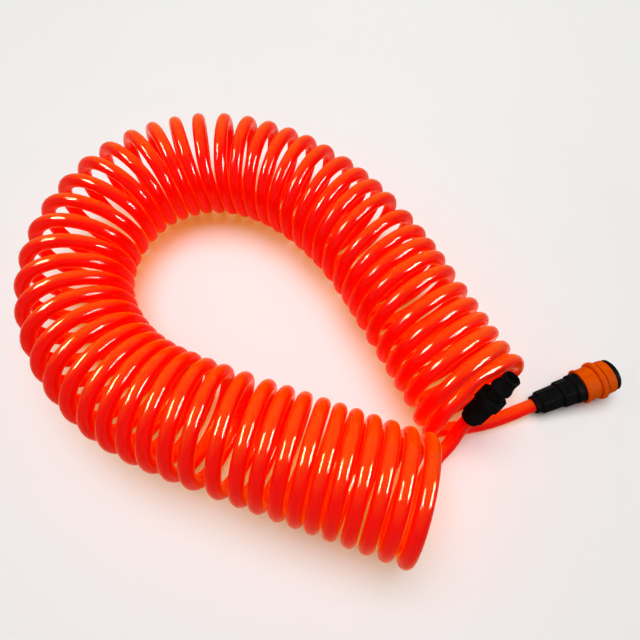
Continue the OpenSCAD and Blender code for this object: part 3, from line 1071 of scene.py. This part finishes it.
@dataclass
class Spring:
    """A compression spring of round wire.

    Attributes:
        node: The solid that it stands for.
        joint: The joint that it sits in; not used.
        back: Where it stands, as a distance along the socket's middle line in millimetres.
        front: Where it ends.
        radius: Radius of its turns, to the middle of the wire.
        wire: Thickness of the wire.
        turns: Number of turns.
        keep: Share of its length that is left at the joint's limit; not used.
        slot: The material slot whose finish it gets.
        closed_ends: How much the end turns close up, as a share of the spring's length.
        per_turn: Sections of wire in each turn.
        sides: Corners of each section.
    """

    node: str
    joint: str
    back: float
    front: float
    radius: float
    wire: float
    turns: float
    keep: float
    slot: Slot = Slot.STEEL
    closed_ends: float = 0.055
    per_turn: int = 36
    sides: int = 10

    def build(self, line: MiddleLine, material: bpy.types.Material) -> bpy.types.Object:
        """Winds the spring in place of its solid.

        Args:
            line: The socket's middle line.
            material: The wire's finish.

        Returns:
            The spring.
        """
        way, side, up = line.axes()
        steps = round(self.turns * self.per_turn)
        round_wire = [math.tau * k / self.sides for k in range(self.sides)]
        shape = bmesh.new()
        rings = []
        for step in range(steps + 1):
            share = step / steps
            angle = math.tau * self.turns * share
            closed = share - self.closed_ends * math.sin(math.tau * share)
            z = self.back + self.wire / 2 + (self.front - self.back - self.wire) * closed
            out = side * math.cos(angle) + up * math.sin(angle)
            middle = line.point(z, out * self.radius)
            offsets = [(out * math.cos(a) + way * math.sin(a)) * self.wire / 2 for a in round_wire]
            rings.append([shape.verts.new((middle + offset) * MM) for offset in offsets])
        join_rings(shape, rings)
        shape.faces.new(rings[0])
        shape.faces.new(reversed(rings[-1]))
        name = f"wound_{self.node}"
        piece = put_in_place(name, finished_mesh(name, shape), material, self.slot, Body.FIXED, self.node)
        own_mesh(piece)
        log.info("socket: %s wound, %.1f turns", self.node, self.turns)
        return piece


@dataclass
class Fitting:
    """One end fitting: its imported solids, dressed, and the pieces that are made anew.

    Attributes:
        name: Its name.
        line: Its middle line.
        parts: The solids that keep their shape, and the material slot whose finish each gets.
        remade: The rings and springs that stand for solids.
    """

    name: str
    line: MiddleLine
    parts: dict[str, Slot]
    remade: tuple[Turned | Spring, ...] = ()

    def build(
        self, nodes: dict[str, bpy.types.Object], materials: dict[Slot, bpy.types.Material]
    ) -> list[bpy.types.Object]:
        """Dresses the fitting's solids and makes its other pieces.

        Args:
            nodes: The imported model's objects by name.
            materials: The finishes' materials by slot.

        Returns:
            The fitting's pieces.
        """
        for node, slot in self.parts.items():
            for place in nodes[node].material_slots:
                place.material = materials[slot]
            log.info("%s: %s in %s", self.name, node, slot.value)
        remade = [part.build(self.line, materials[part.slot]) for part in self.remade]
        return [nodes[node] for node in self.parts] + remade


COLLAR = Turned("release_collar", Slot.ORANGE, Body.COLLAR, (
    (45.2, 13.65, 0.2), (45.2, 15.95, 0.8), (46.9, 15.95, 0.7), (47.0, 14.9, 0.2), (57.9, 14.9, 0.2),
    (58.0, 14.0, 0.15), (58.9, 14.0, 0.15), (59.0, 17.4, 2.2), (63.8, 17.4, 2.2), (63.9, 13.6, 0.2),
    (65.1, 13.6, 0.2), (65.2, 15.4, 1.5), (72.9, 15.0, 1.4), (72.9, 13.94, 0.1), (60.7, 11.98, 0.2),
    (60.7, 11.68, 0.1), (58.4, 11.68, 0.1), (58.4, 13.65, 0.1),
))
FRONT_RING = Turned("front_ring", Slot.BLACK, Body.FIXED, (
    (73.15, 11.62, 0.1), (73.15, 14.3, 0.3), (76.9, 14.3, 0.9), (76.9, 12.6, 0.4), (78.3, 12.2, 0.3),
    (78.3, 9.5, 0.3), (77.95, 8.95, 0.1), (77.82, 8.95, 0.05), (77.82, 11.62, 0.05),
))
COLLAR_SPRING = Spring(
    "collar_spring", "collar_slide", back=46.5, front=58.3, radius=12.62, wire=1.15, turns=4.5, keep=0.57
)
VALVE_SPRING = Spring(
    "valve_spring", "valve_slide", back=38.6, front=47.7, radius=5.2, wire=0.85, turns=5.5, keep=0.66
)
SOCKET = Fitting(
    "socket", SOCKET_LINE,
    parts={
        "socket_nut": Slot.BLACK, "socket_thrust_ring": Slot.WHITE, "socket_collet": Slot.STEEL,
        "socket_adapter": Slot.BLACK, "adapter_seal": Slot.RUBBER, "socket_shell": Slot.BLACK,
        "valve_guide": Slot.BLACK, "valve_poppet": Slot.WHITE, "valve_seal": Slot.RUBBER,
        "plug_seal": Slot.RUBBER, **{f"lock_claw_{i}": Slot.BLACK for i in (1, 2, 3, 4)},
    },
    remade=(COLLAR, FRONT_RING, COLLAR_SPRING, VALVE_SPRING),
)
PLUG = Fitting(
    "plug", PLUG_LINE,
    parts={
        "plug_nut": Slot.BLACK, "plug_thrust_ring": Slot.WHITE, "plug_collet": Slot.STEEL,
        "plug_body": Slot.BLACK,
    },
)


# ---------------------------------------------------------------- the studio


@dataclass(frozen=True)
class Lamp:
    """A soft rectangular lamp that faces the hose.

    Attributes:
        name: Its name.
        at: Where it hangs, in metres.
        size: Its width and height.
        watts: Its power.
        use: What it is for.
        tint: Its colour.
    """

    name: str
    at: Triple
    size: Pair
    watts: float
    use: LampUse
    tint: Triple = (1.0, 1.0, 1.0)

    def hang(self, aim: Triple) -> None:
        """Hangs the lamp.

        Args:
            aim: The point that it faces.
        """
        data = bpy.data.lights.new(self.name, "AREA")
        data.shape = "RECTANGLE"
        data.size, data.size_y = self.size
        data.energy = self.watts
        data.color = self.tint
        lamp = bpy.data.objects.new(self.name, data)
        lamp.location = self.at
        lamp.rotation_euler = (Vector(aim) - Vector(self.at)).to_track_quat("-Z", "Y").to_euler()
        bpy.context.scene.collection.objects.link(lamp)
        setattr(lamp, self.use.value, False)


@dataclass
class Studio:
    """Camera, table, lamps and world, in metres.

    Attributes:
        camera_at: Where the camera stands.
        camera_tilt: How far it is tilted up from straight down, in degrees.
        lens: Its focal length, in millimetres.
        sensor: Width of its sensor, in millimetres.
        near: Closest distance that it sees.
        table_half: Half the table's width.
        aim: The point that the lamps face.
        warm: Colour of the lamps that make the shine.
        beside: Width and height of the lamps at the sides.
        right: Where the lamps on the right hang.
        left: Where the lamps on the left hang.
        world_tint: Colour of the world's light.
        world_level: Its strength.
    """

    camera_at: Triple = (0.001, -0.198, 0.4545)
    camera_tilt: float = 24.43
    lens: float = 28.125
    sensor: float = 36.0
    near: float = 0.01
    table_half: float = 4.0
    aim: Triple = (0.0, 0.0, 0.05)
    warm: Triple = (1.0, 0.96, 0.88)
    beside: Pair = (0.6, 0.46)
    right: Triple = (0.9, -0.3, 0.64)
    left: Triple = (-0.9, 0.06, 0.96)
    world_tint: Triple = (1.0, 0.995, 0.985)
    world_level: float = 0.1

    def camera(self) -> None:
        """Makes the camera, looking down at the hose from its open side."""
        data = bpy.data.cameras.new("camera")
        data.lens = self.lens
        data.sensor_width = self.sensor
        data.sensor_fit = "HORIZONTAL"
        data.clip_start = self.near
        camera = bpy.data.objects.new("camera", data)
        camera.location = self.camera_at
        camera.rotation_euler = (math.radians(self.camera_tilt), 0, 0)
        bpy.context.scene.collection.objects.link(camera)
        bpy.context.scene.camera = camera

    def table(self) -> None:
        """Lays the table top."""
        mesh = bpy.data.meshes.new("table_top")
        h = self.table_half
        mesh.from_pydata([(-h, -h, 0), (h, -h, 0), (h, h, 0), (-h, h, 0)], [], [(0, 1, 2, 3)])
        table = bpy.data.objects.new("table_top", mesh)
        bpy.context.scene.collection.objects.link(table)
        mesh.materials.append(FloorFinish().make())

    def lamps(self) -> None:
        """Hangs two lamps for the shine at the sides, and three that light colours and floor."""
        lamps = (
            Lamp("right_softbox", self.right, self.beside, 120.0, LampUse.SHINE, self.warm),
            Lamp("left_softbox", self.left, self.beside, 120.0, LampUse.SHINE, self.warm),
            Lamp("overhead", (0.0, 0.3, 2.4), (1.8, 1.8), 55.0, LampUse.LIGHT),
            Lamp("right_fill", self.right, self.beside, 5.4, LampUse.LIGHT),
            Lamp("left_fill", self.left, self.beside, 6.3, LampUse.LIGHT),
        )
        for lamp in lamps:
            lamp.hang(self.aim)
        log.info("studio: table and %d lamps", len(lamps))

    def world(self) -> None:
        """Makes the world, which lights weakly and looks like the plain background."""
        world = bpy.data.worlds.new("studio")
        world.use_nodes = True
        light = world.node_tree.nodes["Background"]
        light.inputs["Color"].default_value = (*self.world_tint, 1)
        light.inputs["Strength"].default_value = self.world_level
        seen = world.node_tree.nodes.new("ShaderNodeBackground")
        seen.inputs["Color"].default_value = (*BACKGROUND, 1)
        looking = looked_at(world.node_tree)
        mix_to_output(world.node_tree, "World Output", looking, light.outputs[0], seen.outputs[0])
        bpy.context.scene.world = world

    def build(self) -> None:
        """Sets the table, the lamps and the world."""
        self.table()
        self.lamps()
        self.world()
        bpy.context.scene.view_settings.view_transform = "Standard"


def main() -> None:
    """Builds the camera, the hose, both fittings and the studio."""
    studio = Studio()
    studio.camera()
    materials = {slot: finish.make() for slot, finish in FINISHES.items()}
    hose = Hose()
    hose.build(materials[Slot.HOSE])
    SOCKET.build(frame["nodes"], materials)
    PLUG.build(frame["nodes"], materials)
    studio.build()


if __name__ == "__main__":
    logging.basicConfig(level=logging.INFO, format="%(message)s")
    main()
